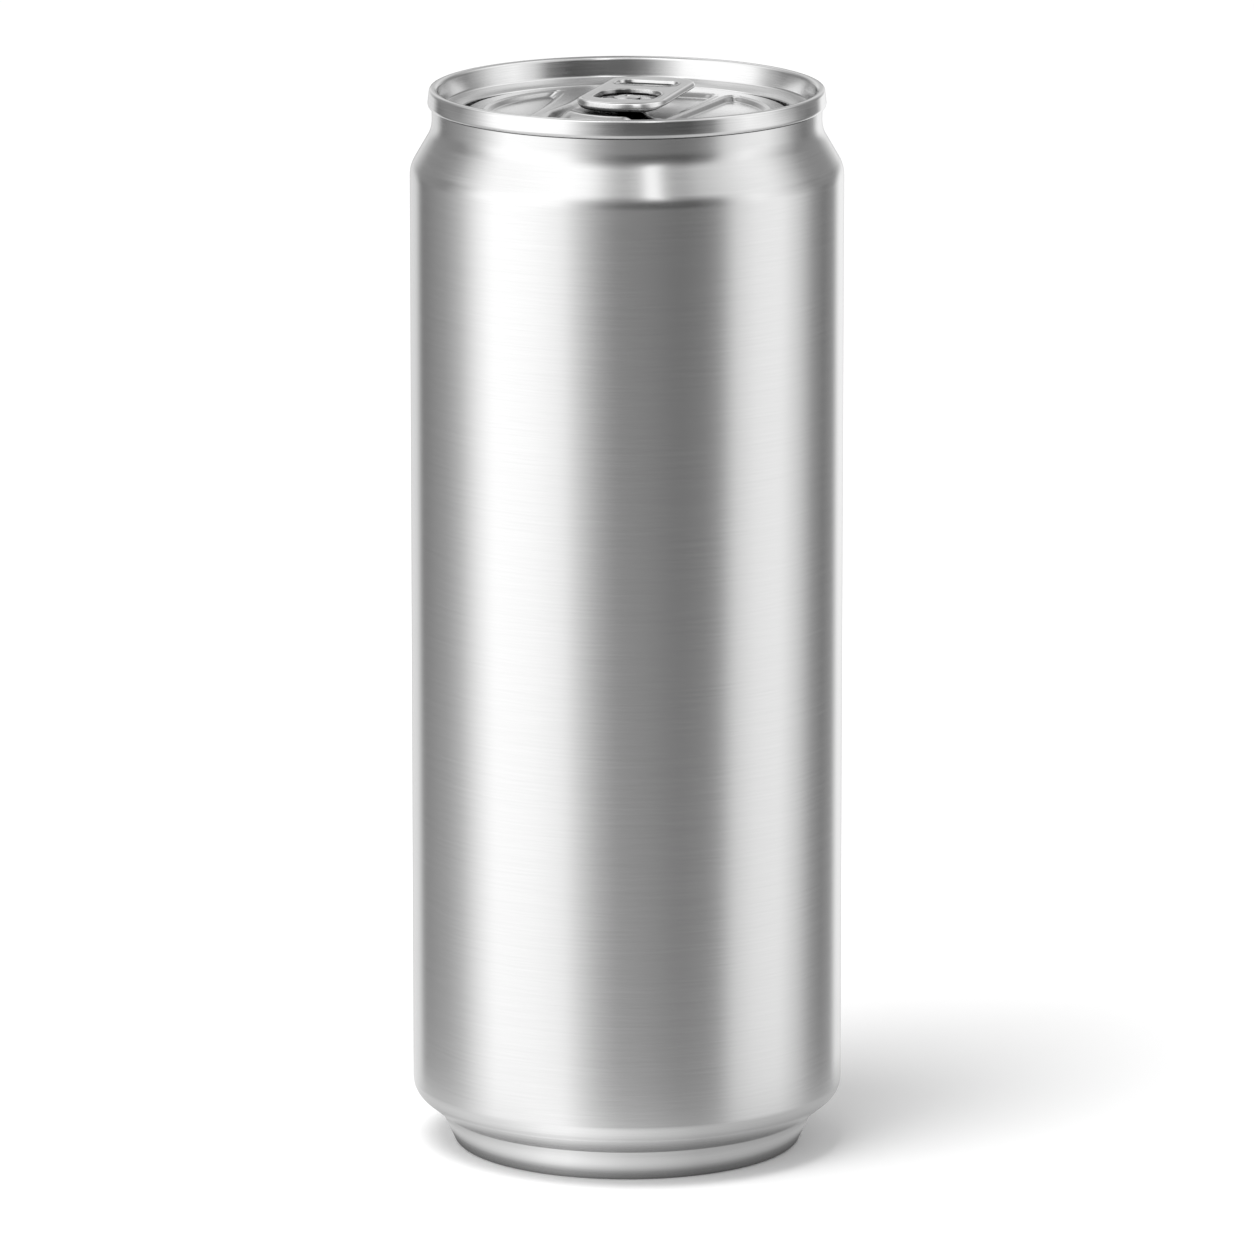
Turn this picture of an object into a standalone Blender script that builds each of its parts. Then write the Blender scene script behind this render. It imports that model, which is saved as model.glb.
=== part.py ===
"""Slim beverage can, 330 ml, shut: a drawn body, a seamed-on easy-open end and its stay-on tab.

Metres, +Z up. The origin is on the can's axis, in the plane that the can stands on.
The tab lies along Y: its nose points to -Y and its finger end to +Y.
"""

import math

import bmesh
import bpy
from mathutils import Matrix, Vector

MM = 0.001

# --- driving dimensions ---------------------------------------------------------------------
CAN_HEIGHT = 144.3 * MM
BODY_RADIUS = 29.0 * MM
TURN_STEPS = 64  # sides of every turned piece, a multiple of 4
FILLET_STEPS = 3  # facets of a rounded corner
EDGE_FACETS = 1  # extra rows of facets on a rolled edge
TOUCH_GAP = 0.3 * MM  # between pieces that rest on each other
CUT_CLEARANCE = 1.0 * MM  # how far a cutting shape reaches past what it cuts
SHARP_DEGREES = 35  # edges bent more than this are shaded sharp

# Neck and shoulder, from the seam down
NECK_RADIUS = 26.05 * MM
NECK_CORNER_Z = CAN_HEIGHT - 5.55 * MM
NECK_BEND = 4.5 * MM
NECK_LIP_WIDTH = 0.2 * MM  # the flat that the seam stands over
NECK_LIP_SLOPE = 0.1 * MM
NECK_LIP_HEIGHT = 0.7 * MM
NECK_SEAT_DROP = 2.05 * MM  # from the lip to where the recess for the end is straight
SHOULDER_CORNER_Z = CAN_HEIGHT - 10.6 * MM
SHOULDER_BEND = 4.0 * MM

# Base, from the wall down
BASE_CORNER_Z = 7.28 * MM
BASE_BEND = 3.0 * MM
CREASE_RADIUS = 25.25 * MM
CREASE_Z = 4.25 * MM
STAND_OUTER_RADIUS = 23.27 * MM
STAND_INNER_RADIUS = 21.6 * MM
STAND_EDGE = 0.6 * MM
DOME_RADIUS = 21.1 * MM
DOME_FOOT_Z = 3.2 * MM
DOME_TOP_Z = 10.2 * MM
DOME_STEPS = 7

# Double seam and the end's turned form, depths from the rim
SEAM_RADIUS = 26.6 * MM
SEAM_HEIGHT = 2.5 * MM
SEAM_EDGE = 0.6 * MM
CHUCK_WALL_RADIUS = 25.35 * MM
KINK_RADIUS = 25.3 * MM
KINK_DEPTH = 2.7 * MM
WALL_FOOT_RADIUS = 23.05 * MM
WALL_FOOT_DEPTH = 3.5 * MM
COUNTERSINK_DEPTH = 6.3 * MM
COUNTERSINK_BEND = 0.6 * MM
COUNTERSINK_SLOPE = 0.1 * MM  # how far the groove's outer side leans
PANEL_RADIUS = 21.65 * MM
PANEL_DEPTH = 3.2 * MM
PANEL_SHOULDER = 0.5 * MM
END_UNDERSIDE_DEPTH = 6.9 * MM
END_PLUG_RADIUS = 23.6 * MM
END_WALL = 0.25 * MM
END_NECK_DROP = 0.85 * MM  # from the seam's foot to where the underside narrows
END_PLUG_DROP = 2.15 * MM  # and to where it is straight

# Pressed recesses of the panel
LOBE_RADIUS = 18.8 * MM
LOBE_DEPTH = 1.0 * MM
LEFT_LOBE_EDGE_X = -11.5 * MM
RIGHT_LOBE_EDGE_X = 7.4 * MM
RIGHT_LOBE_SLANT = 0.12  # how far the right lobe's inner edge leans out towards +Y
LOBE_CORNER = 3.6 * MM  # length that each rounded end takes
WELL_DEPTH = 0.7 * MM
RECESS_ARC_STEPS = 14

# Rivet
BOSS_RADIUS = 3.4 * MM
BOSS_TOP_RADIUS = 2.4 * MM
RIVET_STEM_RADIUS = 1.3 * MM
RIVET_HEAD_RADIUS = 1.85 * MM
RIVET_TOP_DEPTH = 1.35 * MM
RIVET_BEVEL = 0.1 * MM
RIVET_STEPS = 24

# Tab
TAB_HALF_WIDTH = 6.15 * MM
TAB_NOSE_Y = -8.3 * MM
TAB_NOSE_BOW = 0.6 * MM  # how far the corners' lines meet in front of the nose
TAB_NOSE_SIDE = 2.2 * MM  # from the nose to where its sides start
TAB_NOSE_CORNER = 4.4 * MM
TAB_NOSE_BEND = 7.5 * MM
TAB_HEEL_Y = 14.9 * MM
TAB_HEEL_BOW = 0.3 * MM
TAB_HEEL_SIDE = 0.85 * MM
TAB_HEEL_CORNER = 2.8 * MM
TAB_HEEL_BEND = 16.0 * MM
TAB_ARC_STEPS = 4
TAB_TOP_DEPTH = 0.8 * MM
TAB_THICKNESS = 1.25 * MM
TAB_EDGE_ROUND = 0.5 * MM
TAB_OFFSET_X = 0.35 * MM
HOLE_ARC_STEPS = 5
OPENING_HALF_WIDTH = 4.7 * MM
OPENING_FRONT_Y = -4.2 * MM
OPENING_REAR_Y = 3.9 * MM
OPENING_FRONT_CORNER = 1.8 * MM
OPENING_REAR_CORNER = 3.6 * MM
SLOT_HALF_LENGTH = 4.45 * MM
SLOT_FRONT_Y = 7.3 * MM
SLOT_REAR_Y = 11.2 * MM
SLOT_FRONT_CORNER = 1.3 * MM
SLOT_REAR_CORNER = 1.6 * MM
TONGUE_HALF_WIDTH = 3.9 * MM
TONGUE_REAR_Y = 2.9 * MM
TONGUE_FRONT_CORNER = 0.6 * MM
TONGUE_REAR_CORNER = 2.9 * MM
TONGUE_TOP_DEPTH = 1.65 * MM
TONGUE_THICKNESS = 0.45 * MM
TONGUE_ROOT_Y = -5.2 * MM

# --- derived places -------------------------------------------------------------------------
SEAM_FOOT_Z = CAN_HEIGHT - SEAM_HEIGHT
PANEL_Z = CAN_HEIGHT - PANEL_DEPTH
END_UNDERSIDE_Z = CAN_HEIGHT - END_UNDERSIDE_DEPTH
WELL_FLOOR_Z = PANEL_Z - WELL_DEPTH
TONGUE_TOP_Z = CAN_HEIGHT - TONGUE_TOP_DEPTH
TONGUE_FOOT_Z = TONGUE_TOP_Z - TONGUE_THICKNESS
TAB_TOP_Z = CAN_HEIGHT - TAB_TOP_DEPTH

# --- finishes: base colour, roughness -------------------------------------------------------
BODY_FINISH = ((0.62, 0.62, 0.62, 1.0), 0.32)
END_FINISH = ((0.68, 0.68, 0.68, 1.0), 0.22)
TAB_FINISH = ((0.72, 0.72, 0.72, 1.0), 0.18)


def clear_scene():
    for obj in list(bpy.data.objects):
        bpy.data.objects.remove(obj, do_unlink=True)


def new_collection(name, hidden=False):
    collection = bpy.data.collections.new(name)
    collection.hide_render = hidden
    bpy.context.scene.collection.children.link(collection)
    return collection


def metal(name, finish):
    colour, roughness = finish
    material = bpy.data.materials.new(name)
    material.use_nodes = True
    shader = material.node_tree.nodes["Principled BSDF"]
    shader.inputs["Base Color"].default_value = colour
    shader.inputs["Metallic"].default_value = 1.0
    shader.inputs["Roughness"].default_value = roughness
    return material


# --- outlines -------------------------------------------------------------------------------
def rounded(corners, closed, steps=FILLET_STEPS):
    """Points of an outline whose corners are (a, b, radius): a radius of 0 keeps the corner sharp."""
    points = []
    last = len(corners) - 1
    for index, (a, b, radius) in enumerate(corners):
        corner = Vector((a, b))
        if radius == 0 or (not closed and index in (0, last)):
            points.append(corner)
            continue
        before = Vector(corners[index - 1][:2])
        after = Vector(corners[(index + 1) % len(corners)][:2])
        to_before = (before - corner).normalized()
        to_after = (after - corner).normalized()
        half_angle = to_before.angle(to_after) / 2
        bisector = (to_before + to_after).normalized()
        centre = corner + bisector * (radius / math.sin(half_angle))
        start = corner + to_before * (radius / math.tan(half_angle)) - centre
        sweep = start.angle_signed(corner + to_after * (radius / math.tan(half_angle)) - centre)
        for step in range(steps + 1):
            turned_by = Matrix.Rotation(-sweep * step / steps, 2)
            points.append(centre + turned_by @ start)
    return points


def arc(centre, radius, start, end, steps):
    """Points on a circle from one angle to another, both ends included."""
    angles = [start + (end - start) * step / steps for step in range(steps + 1)]
    return [centre + radius * Vector((math.cos(angle), math.sin(angle))) for angle in angles]


def eased(start, corner, end, steps):
    """Points of a curve that leaves start towards corner and arrives at end from it."""
    shares = [step / steps for step in range(steps + 1)]
    return [start.lerp(corner, t).lerp(corner.lerp(end, t), t) for t in shares]


# --- ways of making a solid -----------------------------------------------------------------
def turned(name, profile, collection, steps=TURN_STEPS):
    """A solid of revolution round Z from (radius, height) points that run down its outer side."""
    mesh = bpy.data.meshes.new(name)
    edges = [(i, i + 1) for i in range(len(profile) - 1)]
    mesh.from_pydata([(radius, 0.0, height) for radius, height in profile], edges, [])
    obj = bpy.data.objects.new(name, mesh)
    collection.objects.link(obj)
    screw = obj.modifiers.new("Turn", "SCREW")
    screw.axis = "Z"
    screw.steps = steps
    screw.render_steps = steps
    screw.use_merge_vertices = True
    screw.merge_threshold = 0.00001
    return obj


def extruded(name, outline, bottom, top, collection, edge_round=0.0):
    """A flat outline as a filled 2D curve, given its thickness, then made one closed mesh."""
    curve = bpy.data.curves.new(name, "CURVE")
    curve.dimensions = "2D"
    curve.fill_mode = "BOTH"
    curve.extrude = (top - bottom) / 2 - edge_round
    curve.bevel_depth = edge_round
    curve.bevel_resolution = EDGE_FACETS
    curve.offset = -edge_round
    spline = curve.splines.new("POLY")
    spline.points.add(len(outline) - 1)
    for point, (x, y) in zip(spline.points, outline):
        point.co = (x, y, 0.0, 1.0)
    spline.use_cyclic_u = True
    guide = bpy.data.objects.new(name + "_guide", curve)
    guide.location.z = (bottom + top) / 2
    collection.objects.link(guide)
    bpy.context.view_layer.update()
    graph = bpy.context.evaluated_depsgraph_get()
    mesh = bpy.data.meshes.new_from_object(guide.evaluated_get(graph))
    obj = bpy.data.objects.new(name, mesh)
    obj.matrix_world = guide.matrix_world
    collection.objects.link(obj)
    bpy.data.objects.remove(guide, do_unlink=True)
    shape = bmesh.new()
    shape.from_mesh(mesh)
    bmesh.ops.remove_doubles(shape, verts=shape.verts, dist=0.000001)
    bmesh.ops.recalc_face_normals(shape, faces=shape.faces)
    shape.to_mesh(mesh)
    shape.free()
    return obj


def helper(obj):
    """Marks a cutter, or a shape that is joined to another, as no piece of the can."""
    obj.hide_render = True
    obj.display_type = "WIRE"
    return obj


def combine(obj, other, operation):
    modifier = obj.modifiers.new(operation.title() + "_" + other.name, "BOOLEAN")
    modifier.operation = operation
    modifier.solver = "EXACT"
    modifier.object = helper(other)


def finish(obj, material):
    """Makes the modifiers' result the object's own mesh, shades it and gives it its metal."""
    bpy.context.view_layer.update()
    graph = bpy.context.evaluated_depsgraph_get()
    obj.data = bpy.data.meshes.new_from_object(obj.evaluated_get(graph))
    obj.data.name = obj.name
    obj.modifiers.clear()
    obj.data.shade_smooth()
    obj.data.set_sharp_from_angle(angle=math.radians(SHARP_DEGREES))
    obj.data.materials.clear()
    obj.data.materials.append(material)


# --- the can --------------------------------------------------------------------------------
def body_profile():
    """Top recess that takes the end, neck, shoulder, wall, chamfer, stand ring and dome."""
    seat_z = END_UNDERSIDE_Z - TOUCH_GAP
    seat_radius = END_PLUG_RADIUS + TOUCH_GAP
    lip_z = SEAM_FOOT_Z - TOUCH_GAP
    upper = [
        (0.0, seat_z, 0),
        (seat_radius, seat_z, 0),
        (seat_radius, lip_z - NECK_SEAT_DROP, 0),
        (NECK_RADIUS - NECK_LIP_WIDTH - NECK_LIP_SLOPE, lip_z - NECK_LIP_HEIGHT, 0),
        (NECK_RADIUS - NECK_LIP_WIDTH, lip_z, 0),
        (NECK_RADIUS, lip_z, 0),
        (NECK_RADIUS, NECK_CORNER_Z, NECK_BEND),
        (BODY_RADIUS, SHOULDER_CORNER_Z, SHOULDER_BEND),
        (BODY_RADIUS, BASE_CORNER_Z, BASE_BEND),
        (CREASE_RADIUS, CREASE_Z, STAND_EDGE),
        (STAND_OUTER_RADIUS, 0.0, STAND_EDGE),
        (STAND_INNER_RADIUS, 0.0, STAND_EDGE / 2),
        (DOME_RADIUS, DOME_FOOT_Z, 0),
    ]
    rise = DOME_TOP_Z - DOME_FOOT_Z
    sphere = (DOME_RADIUS**2 + rise**2) / (2 * rise)
    centre = Vector((0.0, DOME_TOP_Z - sphere))
    foot_angle = math.acos(DOME_RADIUS / sphere)
    dome = arc(centre, sphere, foot_angle, math.pi / 2, DOME_STEPS)
    dome[-1].x = 0.0
    return rounded(upper, closed=False) + dome[1:]


def end_profile():
    """Panel, countersink groove, two-stage chuck wall, rolled seam and the plain underside."""
    countersink_z = CAN_HEIGHT - COUNTERSINK_DEPTH
    return rounded(
        [
            (0.0, PANEL_Z, 0),
            (PANEL_RADIUS, PANEL_Z, PANEL_SHOULDER),
            (PANEL_RADIUS, countersink_z, COUNTERSINK_BEND),
            (WALL_FOOT_RADIUS - COUNTERSINK_SLOPE, countersink_z, COUNTERSINK_BEND),
            (WALL_FOOT_RADIUS, CAN_HEIGHT - WALL_FOOT_DEPTH, PANEL_SHOULDER / 2),
            (KINK_RADIUS, CAN_HEIGHT - KINK_DEPTH, PANEL_SHOULDER),
            (CHUCK_WALL_RADIUS, CAN_HEIGHT, SEAM_EDGE),
            (SEAM_RADIUS, CAN_HEIGHT, SEAM_EDGE),
            (SEAM_RADIUS, SEAM_FOOT_Z, SEAM_EDGE),
            (KINK_RADIUS + END_WALL, SEAM_FOOT_Z, 0),
            (KINK_RADIUS + END_WALL / 2, SEAM_FOOT_Z - END_NECK_DROP, 0),
            (END_PLUG_RADIUS, SEAM_FOOT_Z - END_PLUG_DROP, 0),
            (END_PLUG_RADIUS, END_UNDERSIDE_Z, 0),
            (0.0, END_UNDERSIDE_Z, 0),
        ],
        closed=False,
    )


def lobe_outline(edge_x, slant, side):
    """A pressed lobe: a stretch of the lobe circle closed by its inner edge x = edge_x + slant * y.

    side is -1 for the lobe at -X and 1 for the one at +X.
    """
    a = 1 + slant**2
    b = edge_x * slant
    reach = math.sqrt(b**2 - a * (edge_x**2 - LOBE_RADIUS**2))
    rear, front = (Vector((edge_x + slant * y, y)) for y in ((reach - b) / a, (-reach - b) / a))
    along_edge = (rear - front).normalized() * LOBE_CORNER
    trim = LOBE_CORNER / LOBE_RADIUS
    start = math.atan2(rear.y, side * rear.x) - trim
    end = math.atan2(front.y, side * front.x) + trim
    outer = arc(Vector((0, 0)), LOBE_RADIUS, start, end, RECESS_ARC_STEPS)
    for point in outer:
        point.x *= side
    front_corner = eased(outer[-1], front, front + along_edge, FILLET_STEPS)
    rear_corner = eased(rear - along_edge, rear, outer[0], FILLET_STEPS)
    return outer + front_corner[1:] + rear_corner[:-1]


def well_outline():
    """The recess under the tab and, in front of it, the tear panel."""
    return rounded(
        [
            (-8.6 * MM, 15.2 * MM, 1.6 * MM),
            (-8.6 * MM, 3.0 * MM, 8.0 * MM),
            (-9.6 * MM, -4.0 * MM, 8.0 * MM),
            (-7.6 * MM, -16.0 * MM, 5.0 * MM),
            (3.4 * MM, -16.9 * MM, 4.5 * MM),
            (5.2 * MM, -4.0 * MM, 9.0 * MM),
            (7.2 * MM, 15.2 * MM, 1.6 * MM),
        ],
        closed=True,
    )


def rivet_profile():
    boss_top = TONGUE_FOOT_Z - TOUCH_GAP
    head_foot = TONGUE_TOP_Z + TOUCH_GAP / 3
    return [
        (0.0, CAN_HEIGHT - RIVET_TOP_DEPTH),
        (RIVET_HEAD_RADIUS - RIVET_BEVEL, CAN_HEIGHT - RIVET_TOP_DEPTH),
        (RIVET_HEAD_RADIUS, head_foot + RIVET_BEVEL),
        (RIVET_HEAD_RADIUS, head_foot),
        (RIVET_STEM_RADIUS, head_foot),
        (RIVET_STEM_RADIUS, boss_top),
        (BOSS_TOP_RADIUS, boss_top),
        (BOSS_RADIUS, WELL_FLOOR_Z),
        (BOSS_RADIUS, WELL_FLOOR_Z - WELL_DEPTH),
        (0.0, WELL_FLOOR_Z - WELL_DEPTH),
    ]


def make_body(pieces):
    body = turned("can_body", body_profile(), pieces)
    finish(body, metal("body_metal", BODY_FINISH))


def make_end(pieces, helpers):
    end = turned("can_end", end_profile(), pieces)
    above = PANEL_Z + CUT_CLEARANCE
    recesses = [
        ("left_lobe", lobe_outline(LEFT_LOBE_EDGE_X, 0.0, side=-1), LOBE_DEPTH),
        ("right_lobe", lobe_outline(RIGHT_LOBE_EDGE_X, RIGHT_LOBE_SLANT, side=1), LOBE_DEPTH),
        ("well", well_outline(), WELL_DEPTH),
    ]
    for name, outline, depth in recesses:
        combine(end, extruded(name, outline, PANEL_Z - depth, above, helpers), "DIFFERENCE")
    combine(end, turned("rivet", rivet_profile(), helpers, RIVET_STEPS), "UNION")
    finish(end, metal("end_metal", END_FINISH))


def tab_outline():
    """A round nose and a slightly bowed heel, joined by straight sides."""
    return rounded(
        [
            (-TAB_HALF_WIDTH, TAB_HEEL_Y - TAB_HEEL_SIDE, TAB_HEEL_CORNER),
            (-TAB_HALF_WIDTH, TAB_NOSE_Y + TAB_NOSE_SIDE, TAB_NOSE_CORNER),
            (0.0, TAB_NOSE_Y - TAB_NOSE_BOW, TAB_NOSE_BEND),
            (TAB_HALF_WIDTH, TAB_NOSE_Y + TAB_NOSE_SIDE, TAB_NOSE_CORNER),
            (TAB_HALF_WIDTH, TAB_HEEL_Y - TAB_HEEL_SIDE, TAB_HEEL_CORNER),
            (0.0, TAB_HEEL_Y + TAB_HEEL_BOW, TAB_HEEL_BEND),
        ],
        closed=True,
        steps=TAB_ARC_STEPS,
    )


def box_outline(half_width, front, rear, front_corner, rear_corner):
    return rounded(
        [
            (-half_width, rear, rear_corner),
            (-half_width, front, front_corner),
            (half_width, front, front_corner),
            (half_width, rear, rear_corner),
        ],
        closed=True,
        steps=HOLE_ARC_STEPS,
    )


def make_tab(pieces, helpers):
    foot_z = TAB_TOP_Z - TAB_THICKNESS
    tab = extruded("tab", tab_outline(), foot_z, TAB_TOP_Z, pieces, TAB_EDGE_ROUND)
    tab.location.x = TAB_OFFSET_X
    opening = box_outline(
        OPENING_HALF_WIDTH, OPENING_FRONT_Y, OPENING_REAR_Y, OPENING_FRONT_CORNER, OPENING_REAR_CORNER
    )
    slot = box_outline(
        SLOT_HALF_LENGTH, SLOT_FRONT_Y, SLOT_REAR_Y, SLOT_FRONT_CORNER, SLOT_REAR_CORNER
    )
    tongue = box_outline(
        TONGUE_HALF_WIDTH, TONGUE_ROOT_Y, TONGUE_REAR_Y, TONGUE_FRONT_CORNER, TONGUE_REAR_CORNER
    )
    hole_radius = RIVET_STEM_RADIUS + TOUCH_GAP
    hole = arc(Vector((0, 0)), hole_radius, 0, 2 * math.pi, RIVET_STEPS)[:-1]
    for name, outline in (("opening", opening), ("slot", slot)):
        cutter = extruded(name, outline, foot_z - CUT_CLEARANCE, TAB_TOP_Z + CUT_CLEARANCE, helpers)
        cutter.location.x = TAB_OFFSET_X
        combine(tab, cutter, "DIFFERENCE")
    combine(tab, extruded("tongue", tongue, TONGUE_FOOT_Z, TONGUE_TOP_Z, helpers), "UNION")
    cutter = extruded(
        "rivet_hole", hole, TONGUE_FOOT_Z - CUT_CLEARANCE, TONGUE_TOP_Z + CUT_CLEARANCE, helpers
    )
    combine(tab, cutter, "DIFFERENCE")
    finish(tab, metal("tab_metal", TAB_FINISH))


def main():
    clear_scene()
    pieces = new_collection("slim_beverage_can")
    helpers = new_collection("helpers", hidden=True)
    make_body(pieces)
    make_end(pieces, helpers)
    make_tab(pieces, helpers)


main()
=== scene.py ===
"""Looks of the slim beverage can: fine meshes of its body, end and tab, their metals, the studio.

Metres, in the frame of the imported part: +Z up the can's axis, the tab's nose towards -Y.
"""
import math

import bmesh
import bpy
import numpy as np
from mathutils import Matrix, Vector


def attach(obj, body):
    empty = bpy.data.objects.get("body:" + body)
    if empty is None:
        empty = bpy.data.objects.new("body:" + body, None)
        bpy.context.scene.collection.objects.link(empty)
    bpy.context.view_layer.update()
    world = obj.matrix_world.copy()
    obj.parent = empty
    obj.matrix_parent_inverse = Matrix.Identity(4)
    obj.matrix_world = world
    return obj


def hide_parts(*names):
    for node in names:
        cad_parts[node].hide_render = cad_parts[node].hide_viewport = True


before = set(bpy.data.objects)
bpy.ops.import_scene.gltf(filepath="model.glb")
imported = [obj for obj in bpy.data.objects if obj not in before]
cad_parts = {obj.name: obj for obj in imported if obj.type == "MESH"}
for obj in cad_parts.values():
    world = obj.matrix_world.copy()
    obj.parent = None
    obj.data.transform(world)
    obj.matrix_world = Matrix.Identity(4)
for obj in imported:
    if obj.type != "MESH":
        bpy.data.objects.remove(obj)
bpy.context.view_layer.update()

MM = 0.001

# --- sizes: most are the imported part's own, the others follow the can more closely -----------
CAN_HEIGHT = 144.3 * MM
BODY_RADIUS = 29.0 * MM
TOUCH_GAP = 0.3 * MM  # between pieces that rest on each other

# Neck and shoulder, from the seam down
NECK_RADIUS = 26.05 * MM
NECK_CORNER_Z = CAN_HEIGHT - 5.55 * MM
NECK_BEND = 4.5 * MM
NECK_LIP_WIDTH = 0.2 * MM  # the flat under the seam's foot
NECK_LIP_FOOT_WIDTH = 0.3 * MM
NECK_LIP_HEIGHT = 0.7 * MM
NECK_SEAT_DROP = 2.05 * MM  # from the lip to where the recess for the end is straight
SHOULDER_CORNER_Z = CAN_HEIGHT - 10.6 * MM
SHOULDER_BEND = 4.0 * MM

# Base, from the wall down
BASE_CORNER_Z = 7.28 * MM
BASE_BEND = 3.0 * MM
CREASE_RADIUS = 25.25 * MM
CREASE_Z = 4.25 * MM
STAND_OUTER_RADIUS = 23.27 * MM
STAND_INNER_RADIUS = 21.6 * MM
STAND_EDGE = 0.6 * MM
CREASE_EDGE = 0.2 * MM
DOME_RADIUS = 21.1 * MM
DOME_FOOT_Z = 3.2 * MM
DOME_TOP_Z = 10.2 * MM

# Double seam and the end's turned form, depths from the rim
SEAM_RADIUS = 26.6 * MM
SEAM_HEIGHT = 2.5 * MM
SEAM_INNER_EDGE = 0.6 * MM
SEAM_OUTER_EDGE = SEAM_INNER_EDGE - 0.15 * MM
CHUCK_WALL_RADIUS = 25.35 * MM
KINK_RADIUS = 24.9 * MM
KINK_DEPTH = 2.7 * MM
WALL_FOOT_RADIUS = 23.05 * MM
WALL_FOOT_DEPTH = 3.5 * MM
COUNTERSINK_DEPTH = 6.3 * MM
COUNTERSINK_BEND = 0.6 * MM
COUNTERSINK_SLOPE = 0.1 * MM  # how far the groove's outer side leans
PANEL_RADIUS = 21.65 * MM
PANEL_DEPTH = 3.2 * MM
PANEL_SHOULDER = 0.5 * MM
END_UNDERSIDE_DEPTH = 6.9 * MM
END_PLUG_RADIUS = 23.6 * MM
END_WALL = 0.25 * MM
END_NECK_DROP = 0.85 * MM  # from the seam's foot to where the underside narrows
END_PLUG_DROP = 2.15 * MM  # and to where it is straight

# Pressed recesses of the panel
LOBE_RADIUS = 18.8 * MM
LOBE_DEPTH = 0.55 * MM
LOBE_CORNER = 2.2 * MM
# Each lobe's inner edges, x = first + second * y
LEFT_LOBE_EDGES = ((-11.5 * MM, 0.0), (-10.3 * MM, -0.19))
RIGHT_LOBE_EDGES = ((7.9 * MM, 0.12),)
WELL_DEPTH = 0.55 * MM

# Rivet
BOSS_RADIUS = 3.0 * MM
BOSS_TOP_RADIUS = 1.9 * MM
RIVET_STEM_RADIUS = 1.3 * MM
RIVET_HEAD_RADIUS = 1.85 * MM
RIVET_TOP_DEPTH = 1.12 * MM
RIVET_UNDERSIDE_RADIUS = RIVET_HEAD_RADIUS - 0.05 * MM
RIVET_HEAD_CLEARANCE = TOUCH_GAP / 6  # over the tongue
RIVET_STEM_SINK = 0.1 * MM  # how far the stem goes down into the boss
# The head from its dimple out: radius, depth from its top, and how far that corner is rounded
RIVET_HEAD = (
    (0.0, 0.10 * MM, 0),
    (0.30 * MM, 0.10 * MM, 0.2 * MM),
    (0.60 * MM, 0.0, 0.3 * MM),
    (1.20 * MM, 0.03 * MM, 0.6 * MM),
    (RIVET_HEAD_RADIUS - 0.06 * MM, 0.16 * MM, 0.08 * MM),
)

# Tab
TAB_HALF_WIDTH = 6.15 * MM
TAB_HEEL_HALF_WIDTH = 5.95 * MM
TAB_HEEL_CORNER = 4.2 * MM
TAB_HEEL_CORNER_PLACE = 0.9 * MM  # how far in front of the heel these corners lie
TAB_HEEL_BEND = 12.0 * MM
TAB_HEEL_PEAK = 0.3 * MM  # how far behind the heel the corner lies that its bow is rounded from
TAB_NOSE_SHOULDER = 4.4 * MM  # how far the corners between the nose and the sides are rounded
TAB_NOSE_SHOULDER_PLACE = 2.2 * MM  # how far behind the nose these corners lie
TAB_NOSE_BEND = 7.5 * MM
TAB_NOSE_PEAK = 0.6 * MM  # how far in front of the nose its corner lies before it is rounded
TAB_NOSE_Y = -8.3 * MM
TAB_HEEL_Y = 14.9 * MM
TAB_TOP_DEPTH = 0.8 * MM
TAB_THICKNESS = 1.25 * MM
TAB_OFFSET_X = 0.35 * MM
OPENING_HALF_WIDTH = 4.1 * MM
OPENING_FRONT_Y = -4.2 * MM
OPENING_REAR_Y = 3.9 * MM
OPENING_FRONT_CORNER = 1.6 * MM
OPENING_REAR_CORNER = 3.8 * MM
SLOT_HALF_LENGTH = 4.1 * MM
SLOT_OFFSET_X = -0.2 * MM
SLOT_FRONT_Y = 7.3 * MM
SLOT_REAR_Y = 11.2 * MM
SLOT_FRONT_CORNER = 1.3 * MM
SLOT_REAR_CORNER = 1.6 * MM
TONGUE_HALF_WIDTH = 3.3 * MM
TONGUE_REAR_Y = 2.6 * MM
TONGUE_TOP_DEPTH = 1.5 * MM
TONGUE_THICKNESS = 0.45 * MM
TONGUE_SHEET = 0.3 * MM
TONGUE_ROOT_Y = -4.7 * MM
TONGUE_SHOULDER_Y = -1.6 * MM
TONGUE_SHOULDER_LENGTH = 0.7 * MM
TONGUE_ROOT_MARGIN = 0.3 * MM  # how much further out than the opening its root reaches each side
TONGUE_ROOT_DEPTH = 0.10 * MM  # its root's depth from the crest of the tab's roll
PLATE_DEPTH = 0.07 * MM  # the plate's depth from the same crest
PLATE_THICKNESS = 0.3 * MM
# Rolled edges: how far the outer face leans back, how far in the roll reaches, and its thickness
RIM_ROLL = (0.30 * MM, 0.80 * MM, TAB_THICKNESS)
OPENING_ROLL = (0.14 * MM, 0.45 * MM, 0.9 * MM)
SLOT_ROLL = (0.12 * MM, 0.42 * MM, 0.7 * MM)
HOLE_ROLL_FRONT_SHARE = 0.35  # how much of a hole's roll is left in front of the tongue
HOLE_ROLL_FRONT_Y = OPENING_FRONT_Y + 0.6 * MM  # in front of this only that share of it is left
HOLE_ROLL_WHOLE_Y = TONGUE_SHOULDER_Y + 0.4 * MM  # behind this it is whole
RIM_ROLL_WHOLE_Y = TAB_NOSE_Y + 1.2 * MM  # in front of this the rim's roll is whole
RIM_ROLL_THIN_Y = TAB_NOSE_Y + 4.5 * MM  # behind this it is as thin as along the sides
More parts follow.
